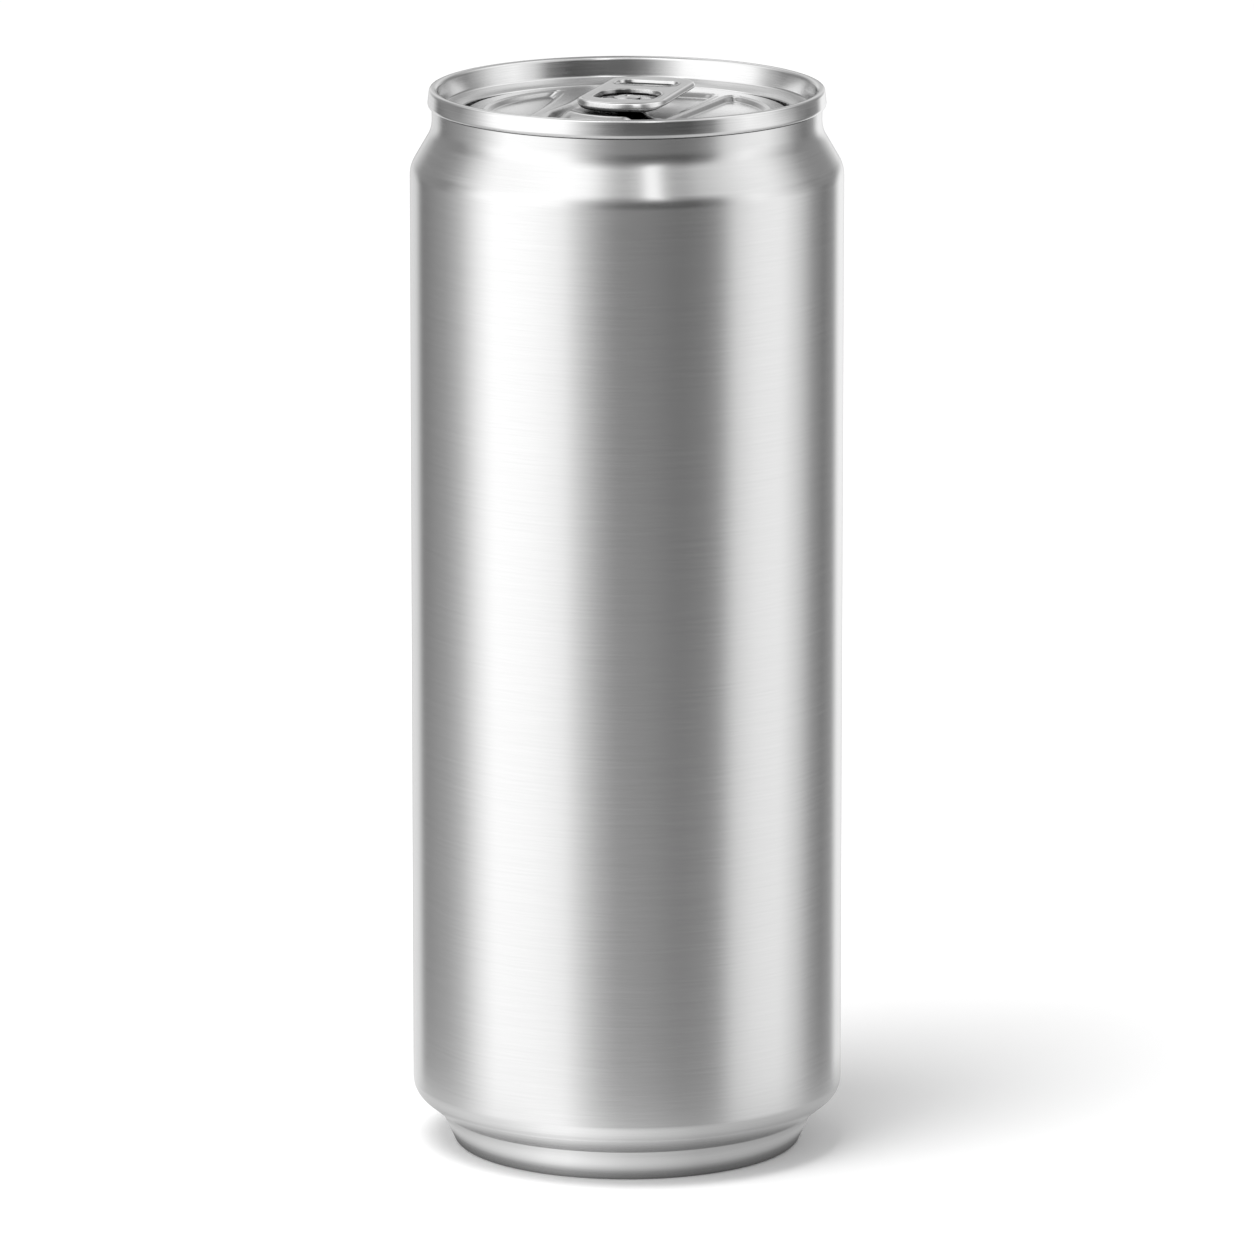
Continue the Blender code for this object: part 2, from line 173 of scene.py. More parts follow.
RAMP_TOP_Y = TONGUE_ROOT_Y + 0.4 * MM  # where the tongue starts to sink

# --- finer forms that only the visual model has ----------------------------------------------
TAB_SIDE_SHARE = 0.62  # how much of the nose's thickness the tab's sides and heel have
TURN_STEPS = 480  # sides of the turned pieces
BEND_STEPS = 9  # facets of a rounded corner
END_BEND_STEPS = 5  # and of the small ones of the end
# How far apart the rings of the pressed panel lie, from each radius out
PANEL_RING_SPACINGS = ((0.0, 0.30 * MM), (6.0 * MM, 0.18 * MM), (15.0 * MM, 0.095 * MM))
SLOPE_STEP = 0.02 * MM  # over which the slope of the panel is read
PANEL_EDGE_RADIUS = 20.9 * MM  # inside this the panel is pressed, outside it is only turned
LOBE_WALL = 0.60 * MM  # how wide the wall of a lobe is, seen from above
LOBE_WALL_EDGE = 0.12 * MM
WELL_WALL = 0.70 * MM
WELL_WALL_EDGE = 0.20 * MM
LIP_HEIGHT = 0.12 * MM
WELL_LIP_HEIGHT = 0.10 * MM
WELL_LIP_WIDTH = 0.42 * MM
SCORE_DEPTH = 0.30 * MM  # the groove that runs along the foot of the recess' wall
SCORE_PLACE = 0.55 * MM
SCORE_HALF_WIDTH = 0.50 * MM
SCORE_REAR_Y = 2.0 * MM  # behind this the groove runs out
SCORE_WHOLE_Y = -3.0 * MM
LIP_PLACE = 0.38 * MM
LIP_WIDTH = 0.30 * MM
# The seat that the tear panel makes for the tab's nose, and the bead along its edge
NOSE_CENTRE_Y = -0.9 * MM
NOSE_RADIUS = 7.4 * MM
SEAT_DEPTH = 2.42 * MM  # from the rim
SEAT_EDGE = 1.1 * MM  # how far in front of the nose it starts to fall
SEAT_REACH = 3.8 * MM
SEAT_MARGIN = 3.6 * MM  # it leaves the walls of the recess as they are
SEAT_REAR_Y = -1.0 * MM
SEAT_WHOLE_Y = -4.5 * MM
SEAT_BEAD_HALF_WIDTH = 0.6 * MM
SEAT_BEAD_HEIGHT = 0.07 * MM
LIP_GAP = 0.13 * MM  # what shows as a dark line between the seam and the neck
SEAM_LEAN = 0.22 * MM  # how far the seam's wall leans back at the crest
SEAM_FOOT_EDGE = 0.5 * MM
SEAM_FOOT_SLOPE = 0.1 * MM
DOME_STEPS = 24
RIVET_STEPS = 96
ROLL_STEPS = 8
TAB_OUTLINE_STEPS = 16
TONGUE_RINGS = 24
TONGUE_SPACING = 0.1 * MM  # between the points of the tongue's outline
OUTLINE_SPACING = 0.25 * MM  # and of the tab's other outlines
ON_AXIS = 1e-9  # a ring of a smaller radius is one point
SHARP_DEGREES = 50  # edges that turn by more than this are shaded as sharp

# --- camera ----------------------------------------------------------------------------------
CAMERA_AZIMUTH = math.radians(16)
CAMERA_DISTANCE = 1457.5 * MM
CAMERA_HEIGHT = 387.7 * MM
CAMERA_PITCH = math.radians(12.27)
CAMERA_LENS = 318.0

# --- derived places --------------------------------------------------------------------------
SEAM_FOOT_Z = CAN_HEIGHT - SEAM_HEIGHT
PANEL_Z = CAN_HEIGHT - PANEL_DEPTH
END_UNDERSIDE_Z = CAN_HEIGHT - END_UNDERSIDE_DEPTH
TONGUE_TOP_Z = CAN_HEIGHT - TONGUE_TOP_DEPTH
TONGUE_FOOT_Z = TONGUE_TOP_Z - TONGUE_THICKNESS
BOSS_TOP_Z = TONGUE_FOOT_Z - TOUCH_GAP
TAB_TOP_Z = CAN_HEIGHT - TAB_TOP_DEPTH
TONGUE_DROP = TONGUE_TOP_DEPTH - TAB_TOP_DEPTH - TONGUE_ROOT_DEPTH  # from its root to its end


# --- outlines --------------------------------------------------------------------------------
def rounded(corners, closed, steps=BEND_STEPS):
    """Points of an outline with (a, b, radius) corners: a radius of 0 keeps the corner sharp."""
    points = []
    last = len(corners) - 1
    for index, (a, b, radius) in enumerate(corners):
        corner = Vector((a, b))
        if radius == 0 or (not closed and index in (0, last)):
            points.append(corner)
            continue
        before = Vector(corners[index - 1][:2])
        after = Vector(corners[(index + 1) % len(corners)][:2])
        to_before = (before - corner).normalized()
        to_after = (after - corner).normalized()
        half_angle = to_before.angle(to_after) / 2
        bisector = (to_before + to_after).normalized()
        centre = corner + bisector * (radius / math.sin(half_angle))
        start = corner + to_before * (radius / math.tan(half_angle)) - centre
        sweep = start.angle_signed(corner + to_after * (radius / math.tan(half_angle)) - centre)
        for step in range(steps + 1):
            turned_by = Matrix.Rotation(-sweep * step / steps, 2)
            points.append(centre + turned_by @ start)
    return points


def arc(centre, radius, start, end, steps):
    """Points on a circle from one angle to another, both ends included."""
    angles = [start + (end - start) * step / steps for step in range(steps + 1)]
    directions = [Vector((math.cos(angle), math.sin(angle))) for angle in angles]
    return [Vector(centre) + radius * direction for direction in directions]


def signed_distance(points, outline):
    """How far each point lies from a closed outline, negative inside it."""
    outline = np.array([tuple(point) for point in outline])
    nearest = np.full(len(points), np.inf)
    inside = np.zeros(len(points), bool)
    for start, end in zip(outline, np.roll(outline, -1, axis=0)):
        edge = end - start
        offset = points - start
        share = np.clip(offset @ edge / (edge @ edge), 0, 1)
        nearest = np.minimum(nearest, np.linalg.norm(offset - share[:, None] * edge, axis=1))
        crosses = (start[1] > points[:, 1]) != (end[1] > points[:, 1])
        with np.errstate(divide="ignore", invalid="ignore"):
            crossing_x = start[0] + offset[:, 1] * edge[0] / edge[1]
        inside ^= crosses & (points[:, 0] < crossing_x)
    return np.where(inside, -nearest, nearest)


def smooth_step(value, low, high):
    """0 below low and 1 above high, with a smooth rise between them."""
    share = np.clip((value - low) / (high - low), 0, 1)
    return share * share * (3 - 2 * share)


def rounded_ramp(value, high, edge):
    """0 below 0 and 1 above high, straight between them but for the rounded edges."""

    def rise(past):
        bend = (np.clip(past, -edge, edge) + edge) ** 2 / (4 * edge)
        return np.where(past > edge, past, bend)

    return (rise(value) - rise(value - high)) / high


def ridge(distance, place, half_width):
    """1 on the line at that distance, falling smoothly to 0 half_width away from it."""
    share = np.clip(np.abs(distance - place) / half_width, 0, 1)
    return (1 - share * share) ** 2


# --- meshes ----------------------------------------------------------------------------------
def turned_rings(profile, steps=TURN_STEPS):
    """One ring of points for each (radius, height). A point on the axis is a ring of one."""
    angles = np.linspace(0, 2 * math.pi, steps, endpoint=False)
    around = np.stack([np.cos(angles), np.sin(angles)], axis=1)
    rings = []
    for radius, height in profile:
        if radius < ON_AXIS:
            rings.append(np.array([[0.0, 0.0, height]]))
        else:
            rings.append(np.column_stack([around * radius, np.full(steps, height)]))
    return rings


class Shape:
    """Collects rings of points and the faces between them, then becomes one object."""

    def __init__(self):
        self.points = []
        self.faces = []

    def add_ring(self, ring):
        """Adds points and gives their indices."""
        first = len(self.points)
        self.points.extend(tuple(point) for point in ring)
        return list(range(first, first + len(ring)))

    def bridge(self, one, other):
        """Faces between two closed rings of as many points, or from a ring to a single point."""
        count = max(len(one), len(other))
        for index in range(count):
            after = (index + 1) % count
            corners = [one[index % len(one)], one[after % len(one)]]
            corners += [other[after % len(other)], other[index % len(other)]]
            self.faces.append(list(dict.fromkeys(corners)))

    def skin(self, rings):
        """Joins each ring to the next and gives the indices of the first and the last."""
        indices = [self.add_ring(ring) for ring in rings]
        for one, other in zip(indices, indices[1:]):
            self.bridge(one, other)
        return indices[0], indices[-1]

    def fill(self, *loops):
        """A flat face between closed loops of points, the first one outermost."""
        flat = bmesh.new()
        for loop in loops:
            vertices = [flat.verts.new(self.points[index]) for index in loop]
            for start, end in zip(vertices, vertices[1:] + vertices[:1]):
                flat.edges.new((start, end))
        flat.verts.index_update()
        order = [index for loop in loops for index in loop]
        bmesh.ops.triangle_fill(flat, use_beauty=True, edges=flat.edges)
        for face in flat.faces:
            self.faces.append([order[vertex.index] for vertex in face.verts])
        flat.free()

    def build(self, name, material):
        """Makes the object, its normals turned out and its sharp edges marked."""
        mesh = bpy.data.meshes.new(name)
        mesh.from_pydata(self.points, [], self.faces)
        shape = bmesh.new()
        shape.from_mesh(mesh)
        bmesh.ops.recalc_face_normals(shape, faces=shape.faces)
        shape.to_mesh(mesh)
        shape.free()
        mesh.shade_smooth()
        mesh.set_sharp_from_angle(angle=math.radians(SHARP_DEGREES))
        mesh.materials.append(material)
        obj = bpy.data.objects.new(name, mesh)
        bpy.context.scene.collection.objects.link(obj)
        return obj


# --- node helpers ----------------------------------------------------------------------------
def node(tree, kind, inputs=None, **settings):
    """Adds a node, sets its properties, and links or sets its inputs by name or index."""
    made = tree.nodes.new(kind)
    for key, value in settings.items():
        setattr(made, key, value)
    for key, value in (inputs or {}).items():
        if isinstance(value, bpy.types.NodeSocket):
            tree.links.new(value, made.inputs[key])
        else:
            made.inputs[key].default_value = value
    return made


def math_node(tree, operation, *values):
    return node(tree, "ShaderNodeMath", dict(enumerate(values)), operation=operation).outputs[0]


def ramp_node(tree, factor, stops):
    """A grey ramp, straight between its (place, level) stops."""
    made = node(tree, "ShaderNodeValToRGB", {0: factor})
    ramp = made.color_ramp
    for index, (place, level) in enumerate(stops):
        stop = ramp.elements[index] if index < 2 else ramp.elements.new(place)
        stop.position = place
        stop.color = (level, level, level, 1.0)
    return made.outputs[0]


def new_material(name):
    material = bpy.data.materials.new(name)
    material.use_nodes = True
    tree = material.node_tree
    return material, tree, tree.nodes["Principled BSDF"]


# --- metals ----------------------------------------------------------------------------------
# The radii where the chuck wall's own metal starts, and the seam's
WALL_METAL_FROM = WALL_FOOT_RADIUS - 0.3 * MM
SEAM_METAL_FROM = CHUCK_WALL_RADIUS + 0.2 * MM
# The grain is noise, most of which lies between these levels
GRAIN_LOW = 0.3
GRAIN_HIGH = 0.7
FINE_GRAIN_SHARE = 0.65  # how much of the body's grain is its fine streaks
BROAD_GRAIN_SHARE = 0.35
# About how many streaks there are to a metre along each axis, and the detail of their noise
FINE_GRAIN = (160, 160, 12000, 3.0)
BROAD_GRAIN = (60, 60, 3000, 2.0)
TURNED_GRAIN = (120, 120, 9000, 2.0)
PANEL_GRAIN = (90, 4000, 4000, 2.0)
TAB_GRAIN = (5000, 120, 5000, 2.0)
TURNED_ANISOTROPY = 0.65
# Painted shade: narrow gaps are darkened in the base colour by ambient occlusion: how far off the
# other metal may be, and how strongly
PANEL_PAINTED_GAP_SHADE = (3.5 * MM, 2.8)
TAB_PAINTED_GAP_SHADE = (2.5 * MM, 4.0)
GAP_SHADE_SAMPLES = 8


def stretched_noise(tree, scale_x, scale_y, scale_z, detail):
    """Noise drawn out into streaks: the larger an axis' scale, the finer they are along it."""
    place = node(tree, "ShaderNodeTexCoord").outputs["Object"]
    scaled = node(
        tree, "ShaderNodeMapping", {"Vector": place, "Scale": (scale_x, scale_y, scale_z)}
    ).outputs[0]
    return node(
        tree, "ShaderNodeTexNoise", {"Vector": scaled, "Scale": 1.0, "Detail": detail}
    ).outputs[0]


def grain_colour(tree, grain, darkest, lightest):
    """A grey that follows the grain."""
    return ramp_node(tree, grain, [(GRAIN_LOW, darkest), (GRAIN_HIGH, lightest)])


def link_roughness(tree, shader, grain, smoothest, roughest):
    """Roughness that follows the grain."""
    roughness = node(
        tree,
        "ShaderNodeMapRange",
        {
            "Value": grain,
            "From Min": GRAIN_LOW,
            "From Max": GRAIN_HIGH,
            "To Min": smoothest,
            "To Max": roughest,
        },
    )
    tree.links.new(roughness.outputs[0], shader.inputs["Roughness"])


def turn_reflections(tree, shader):
    """Reflections that stay sharp round the can and blur up and down it, as turned metal's do."""
    shader.inputs["Anisotropic"].default_value = TURNED_ANISOTROPY
    shader.inputs["Anisotropic Rotation"].default_value = 0.25
    tangent = node(tree, "ShaderNodeTangent", direction_type="RADIAL", axis="Z")
    tree.links.new(tangent.outputs[0], shader.inputs["Tangent"])


def painted_gap_shade(tree, colour, reach, darkness):
    """Paints shade into a metal's colour where other metal closes it in: ambient occlusion darkens
    its narrow gaps.
    """
    gap_occlusion = node(
        tree,
        "ShaderNodeAmbientOcclusion",
        {"Color": colour, "Distance": reach},
        samples=GAP_SHADE_SAMPLES,
    )
    # painted shade: the colour is scaled down by the occlusion raised to a power
    share = math_node(tree, "POWER", gap_occlusion.outputs["AO"], darkness)
    return node(
        tree, "ShaderNodeVectorMath", {0: colour, "Scale": share}, operation="SCALE"
    ).outputs[0]


def body_metal():
    """Drawn and ironed sheet: a fine satin grain that runs round the can."""
    material, tree, shader = new_material("body_aluminium")
    fine = math_node(tree, "MULTIPLY", stretched_noise(tree, *FINE_GRAIN), FINE_GRAIN_SHARE)
    broad = math_node(tree, "MULTIPLY", stretched_noise(tree, *BROAD_GRAIN), BROAD_GRAIN_SHARE)
    grain = math_node(tree, "ADD", fine, broad)
    tree.links.new(grain_colour(tree, grain, 0.78, 0.83), shader.inputs["Base Color"])
    link_roughness(tree, shader, grain, 0.20, 0.25)
    shader.inputs["Metallic"].default_value = 1.0
    turn_reflections(tree, shader)
    bump = node(
        tree, "ShaderNodeBump", {"Height": grain, "Strength": 0.05, "Distance": 0.02 * MM}
    )
    tree.links.new(bump.outputs[0], shader.inputs["Normal"])
    return material


def turned_metal(name, smoothest, roughest):
    """Sheet whose grain runs round the can."""
    material, tree, shader = new_material(name)
    grain = stretched_noise(tree, *TURNED_GRAIN)
    tree.links.new(grain_colour(tree, grain, 0.78, 0.85), shader.inputs["Base Color"])
    link_roughness(tree, shader, grain, smoothest, roughest)
    shader.inputs["Metallic"].default_value = 1.0
    turn_reflections(tree, shader)
    return material


def seam_metal():
    return turned_metal("seam_aluminium", 0.13, 0.18)


def wall_metal():
    return turned_metal("chuck_wall_aluminium", 0.15, 0.20)


def panel_metal():
    """Rolled sheet, its faint grain straight across the end."""
    material, tree, shader = new_material("panel_aluminium")
    grain = stretched_noise(tree, *PANEL_GRAIN)
    # painted shade: the grain colour is darkened by ambient occlusion where the panel lies close
    # under the tab and the rivet
    colour = painted_gap_shade(tree, grain_colour(tree, grain, 0.79, 0.84), *PANEL_PAINTED_GAP_SHADE)
    tree.links.new(colour, shader.inputs["Base Color"])
    link_roughness(tree, shader, grain, 0.12, 0.16)
    shader.inputs["Metallic"].default_value = 1.0
    return material


def tab_metal():
    """Bright sheet with polished curls."""
    material, tree, shader = new_material("tab_aluminium")
    grain = stretched_noise(tree, *TAB_GRAIN)
    # painted shade: the grain colour is darkened by ambient occlusion where the tab lies close over
    # the panel
    colour = painted_gap_shade(tree, grain_colour(tree, grain, 0.80, 0.86), *TAB_PAINTED_GAP_SHADE)
    tree.links.new(colour, shader.inputs["Base Color"])
    link_roughness(tree, shader, grain, 0.08, 0.12)
    shader.inputs["Metallic"].default_value = 1.0
    return material


# --- can body --------------------------------------------------------------------------------
def body_profile():
    """Top recess that takes the end, neck, shoulder, wall, chamfer, stand ring and dome."""
    seat_z = END_UNDERSIDE_Z - TOUCH_GAP
    seat_radius = END_PLUG_RADIUS + TOUCH_GAP
    lip_z = SEAM_FOOT_Z - LIP_GAP
    upper = [
        (0.0, seat_z, 0),
        (seat_radius, seat_z, 0),
        (seat_radius, lip_z - NECK_SEAT_DROP, 0),
        (NECK_RADIUS - NECK_LIP_FOOT_WIDTH, lip_z - NECK_LIP_HEIGHT, 0),
        (NECK_RADIUS - NECK_LIP_WIDTH, lip_z, 0),
        (NECK_RADIUS, lip_z, 0),
        (NECK_RADIUS, NECK_CORNER_Z, NECK_BEND),
        (BODY_RADIUS, SHOULDER_CORNER_Z, SHOULDER_BEND),
        (BODY_RADIUS, BASE_CORNER_Z, BASE_BEND),
        (CREASE_RADIUS, CREASE_Z, CREASE_EDGE),
        (STAND_OUTER_RADIUS, 0.0, STAND_EDGE),
        (STAND_INNER_RADIUS, 0.0, STAND_EDGE / 2),
        (DOME_RADIUS, DOME_FOOT_Z, 0),
    ]
    rise = DOME_TOP_Z - DOME_FOOT_Z
    sphere = (DOME_RADIUS**2 + rise**2) / (2 * rise)
    foot_angle = math.acos(DOME_RADIUS / sphere)
    dome = arc((0.0, DOME_TOP_Z - sphere), sphere, foot_angle, math.pi / 2, DOME_STEPS)
    dome[-1].x = 0.0
    return rounded(upper, closed=False) + dome[1:]


def make_body():
    shape = Shape()
    shape.skin(turned_rings(body_profile()))
    body = shape.build("body_shell", body_metal())
    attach(body, "root")
    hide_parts("can_body")


# --- can end ---------------------------------------------------------------------------------
def end_profile():
    """From the edge of the pressed panel: countersink, chuck wall, seam and the plain underside."""
    countersink_z = CAN_HEIGHT - COUNTERSINK_DEPTH
    return rounded(
        [
            (PANEL_EDGE_RADIUS, PANEL_Z, 0),
            (PANEL_RADIUS, PANEL_Z, PANEL_SHOULDER),
            (PANEL_RADIUS, countersink_z, COUNTERSINK_BEND),
            (WALL_FOOT_RADIUS - COUNTERSINK_SLOPE, countersink_z, COUNTERSINK_BEND),
            (WALL_FOOT_RADIUS, CAN_HEIGHT - WALL_FOOT_DEPTH, PANEL_SHOULDER / 2),
            (KINK_RADIUS, CAN_HEIGHT - KINK_DEPTH, PANEL_SHOULDER),
            (CHUCK_WALL_RADIUS, CAN_HEIGHT, SEAM_INNER_EDGE),
            (SEAM_RADIUS - SEAM_LEAN, CAN_HEIGHT, SEAM_OUTER_EDGE),
            (SEAM_RADIUS, SEAM_FOOT_Z + SEAM_FOOT_EDGE, SEAM_FOOT_EDGE / 2),
            (SEAM_RADIUS - SEAM_FOOT_SLOPE, SEAM_FOOT_Z, SEAM_FOOT_EDGE - SEAM_FOOT_SLOPE),
            (CHUCK_WALL_RADIUS + END_WALL, SEAM_FOOT_Z, 0),
            (CHUCK_WALL_RADIUS, SEAM_FOOT_Z - END_NECK_DROP, 0),
            (END_PLUG_RADIUS, SEAM_FOOT_Z - END_PLUG_DROP, 0),
            (END_PLUG_RADIUS, END_UNDERSIDE_Z, 0),
            (0.0, END_UNDERSIDE_Z, 0),
        ],
        closed=False,
        steps=END_BEND_STEPS,
    )


def soft_larger(one, other, reach):
    """The larger of two distances, with the corner between them rounded over reach."""
    overlap = np.maximum(reach - np.abs(one - other), 0)
    return np.maximum(one, other) + overlap**2 / (4 * reach)


def from_line(points, at_middle, slant, side):
    """How far points lie from the line x = at_middle + slant * y, positive towards the axis.

    side is -1 for a line at -X and 1 for one at +X.
    """
    x, y = points.T
    return side * (at_middle + slant * y - x) / math.hypot(1, slant)


def from_lobe(points, side, *edges):
    """How far points lie outside a lobe: a stretch of the lobe circle cut off by its inner edges."""
    away = np.hypot(*points.T) - LOBE_RADIUS
    for at_middle, slant in edges:
        away = soft_larger(away, from_line(points, at_middle, slant, side), LOBE_CORNER)
    return away


def well_outline():
    """The recess under the tab and, in front of it, the tear panel."""
    return rounded(
        [
            (-8.6 * MM, 16.4 * MM, 1.6 * MM),
            (-8.6 * MM, 3.0 * MM, 8.0 * MM),
            (-9.6 * MM, -4.0 * MM, 8.0 * MM),
            (-7.6 * MM, -16.0 * MM, 5.0 * MM),
            (4.8 * MM, -16.9 * MM, 4.5 * MM),
            (6.4 * MM, -4.0 * MM, 9.0 * MM),
            (8.0 * MM, 16.4 * MM, 1.6 * MM),
        ],
        closed=True,
    )


def pressed_height(points):
    """How far the pressed panel stands above or below its own level at each (x, y)."""
    height = np.zeros(len(points))
    for side, edges in ((-1, LEFT_LOBE_EDGES), (1, RIGHT_LOBE_EDGES)):
        away = from_lobe(points, side, *edges)
        height -= LOBE_DEPTH * rounded_ramp(-away, LOBE_WALL, LOBE_WALL_EDGE)
        height += LIP_HEIGHT * ridge(away, LIP_PLACE, LIP_WIDTH)
    away = signed_distance(points, well_outline())
    height -= WELL_DEPTH * rounded_ramp(-away, WELL_WALL, WELL_WALL_EDGE)
    height += WELL_LIP_HEIGHT * ridge(away, LIP_PLACE, WELL_LIP_WIDTH)
    scored = smooth_step(-points[:, 1], -SCORE_REAR_Y, -SCORE_WHOLE_Y)
    height -= SCORE_DEPTH * scored * ridge(away, -SCORE_PLACE, SCORE_HALF_WIDTH)
    from_nose = np.hypot(points[:, 0] - TAB_OFFSET_X, points[:, 1] - NOSE_CENTRE_Y) - NOSE_RADIUS
    seat = smooth_step(-from_nose, -SEAT_REACH, -SEAT_EDGE)
    seat = seat * smooth_step(-points[:, 1], -SEAT_REAR_Y, -SEAT_WHOLE_Y)
    seat = seat * smooth_step(-away, WELL_WALL, SEAT_MARGIN)
    height = height * (1 - seat) + (CAN_HEIGHT - SEAT_DEPTH - PANEL_Z) * seat
    height += seat * SEAT_BEAD_HEIGHT * ridge(from_nose, SEAT_EDGE, SEAT_BEAD_HALF_WIDTH)
    from_rivet = np.hypot(points[:, 0], points[:, 1])
    boss = smooth_step(-from_rivet, -BOSS_RADIUS, -BOSS_TOP_RADIUS)
    return height * (1 - boss) + (BOSS_TOP_Z - PANEL_Z) * boss


def panel_rings():
    """The pressed panel, from its middle out."""
    ends = [start for start, _ in PANEL_RING_SPACINGS[1:]] + [PANEL_EDGE_RADIUS]
    bands = [np.arange(start, end, gap) for (start, gap), end in zip(PANEL_RING_SPACINGS, ends)]
    rings = []
    for radius in np.concatenate(bands):
        (ring,) = turned_rings([(radius, PANEL_Z)])
        ring[:, 2] += pressed_height(ring[:, :2])
        rings.append(ring)
    return rings


def rivet_profile():
    """The button that holds the tab: a shallow dome with a dimple, on its stem."""
    top = CAN_HEIGHT - RIVET_TOP_DEPTH
    head_foot = TONGUE_TOP_Z + RIVET_HEAD_CLEARANCE
    stem_foot = BOSS_TOP_Z - RIVET_STEM_SINK
    head = [(radius, top - depth, bend) for radius, depth, bend in RIVET_HEAD]
    stem = [
        (RIVET_UNDERSIDE_RADIUS, head_foot, 0),
        (RIVET_STEM_RADIUS, head_foot, 0),
        (RIVET_STEM_RADIUS, stem_foot, 0),
        (0.0, stem_foot, 0),
    ]
    return rounded(head + stem, closed=False, steps=END_BEND_STEPS)


def shade_by_slope(end, ring_points):
    """Shades the pressed panel by its true slope, so that no facets show in the lips."""
    flat = ring_points[:, :2]
    across, along = (
        (pressed_height(flat + step) - pressed_height(flat - step)) / (2 * SLOPE_STEP)
        for step in ((SLOPE_STEP, 0.0), (0.0, SLOPE_STEP))
    )
    panel = np.column_stack([-across, -along, np.ones(len(flat))])
    panel /= np.linalg.norm(panel, axis=1)[:, None]
    normals = np.zeros((len(end.data.vertices), 3))
    normals[: len(panel)] = panel
    end.data.normals_split_custom_set_from_vertices(normals.tolist())


def finish_end(end):
    """Gives the turned parts of the end their own metals: the chuck wall, and the seam outside it."""
    end.data.materials.append(wall_metal())
    end.data.materials.append(seam_metal())
    for face in end.data.polygons:
        radius = math.hypot(face.center.x, face.center.y)
        if radius > SEAM_METAL_FROM:
            face.material_index = 2
        elif radius > WALL_METAL_FROM:
            face.material_index = 1


def make_end():
    shape = Shape()
    pressed = panel_rings()
    shape.skin(pressed + turned_rings(end_profile()))
    shape.skin(turned_rings(rivet_profile(), steps=RIVET_STEPS))
    end = shape.build("end_shell", panel_metal())
    shade_by_slope(end, np.concatenate(pressed))
    finish_end(end)
    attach(end, "root")
    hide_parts("can_end")


# --- tab -------------------------------------------------------------------------------------
def dense(outline, spacing=OUTLINE_SPACING):
    """The same closed outline with points no further apart than spacing."""
    points = []
    for start, end in zip(outline, outline[1:] + outline[:1]):
        pieces = max(1, math.ceil((end - start).length / spacing))
        points += [start.lerp(end, step / pieces) for step in range(pieces)]
    return np.array([tuple(point) for point in points])


def inward(outline):
    """Unit vectors that point into a closed outline at each of its points."""
    along = np.roll(outline, -1, axis=0) - np.roll(outline, 1, axis=0)
    along /= np.linalg.norm(along, axis=1)[:, None]
    turned = np.stack([-along[:, 1], along[:, 0]], axis=1)
    x, y = outline.T
    area = np.sum(x * np.roll(y, -1) - np.roll(x, -1) * y)
    return turned if area > 0 else -turned


def edge_rings(outline, section, top_z, into, depth_share):
    """Rings that carry a cross-section of (inset, depth) points along an outline.

    depth_share(y) says how much of each depth is left at that y.
    """
    shares = depth_share(outline[:, 1])
    rings = []
    for inset, depth in section:
        flat = outline + into * inset
        rings.append(np.column_stack([flat, np.full(len(flat), top_z) - depth * shares]))
    return rings


def rolled_section(slope, reach, thickness):
    """Cross-section of a rolled edge, from the plate's upper face over the roll to its lower one.

    The roll's outer face leans back by slope, and reach is how far in it meets the plate.
    """
    section = rounded(
        [
            (reach, PLATE_DEPTH, 0),
            (reach * 0.94, PLATE_DEPTH, reach * 0.04),
            (reach * 0.80, 0.0, reach * 0.15),
            (slope, 0.0, slope * 1.5),
            (0.0, thickness * 0.62, thickness * 0.3),
            (slope * 0.45, thickness, thickness * 0.22),
            (reach * 0.97, thickness, 0.02 * MM),
            (reach, PLATE_DEPTH + PLATE_THICKNESS, 0),
        ],
        closed=False,
        steps=ROLL_STEPS,
    )
    return [tuple(point) for point in section]


def hole_roll_share(y):
    """The rolls of the holes are whole but for the web in front of the tongue."""
    whole = smooth_step(y, HOLE_ROLL_FRONT_Y, HOLE_ROLL_WHOLE_Y)
    return HOLE_ROLL_FRONT_SHARE + (1 - HOLE_ROLL_FRONT_SHARE) * whole


def rim_roll_share(y):
    """The tab's roll is whole at the nose and thinner along the sides and the heel."""
    return 1 - (1 - TAB_SIDE_SHARE) * smooth_step(y, RIM_ROLL_WHOLE_Y, RIM_ROLL_THIN_Y)


def rolled_plate(shape, outline, holes, rolls):
    """A sheet plate with rolled edges: the first roll is the outline's, the others are the holes'."""
    rim, *hole_rims = [rolled_section(*roll) for roll in rolls]
    outline = dense(outline)
    rings = edge_rings(outline, rim, TAB_TOP_Z, inward(outline), rim_roll_share)
    first, last = shape.skin(rings)
    tops, feet = [first], [last]
    for hole, hole_rim in zip(holes, hole_rims):
        hole = dense(hole)
        rings = edge_rings(hole, hole_rim, TAB_TOP_Z, -inward(hole), hole_roll_share)
        first, last = shape.skin(rings)
        tops.append(first)
        feet.append(last)
    shape.fill(*tops)
    shape.fill(*feet)


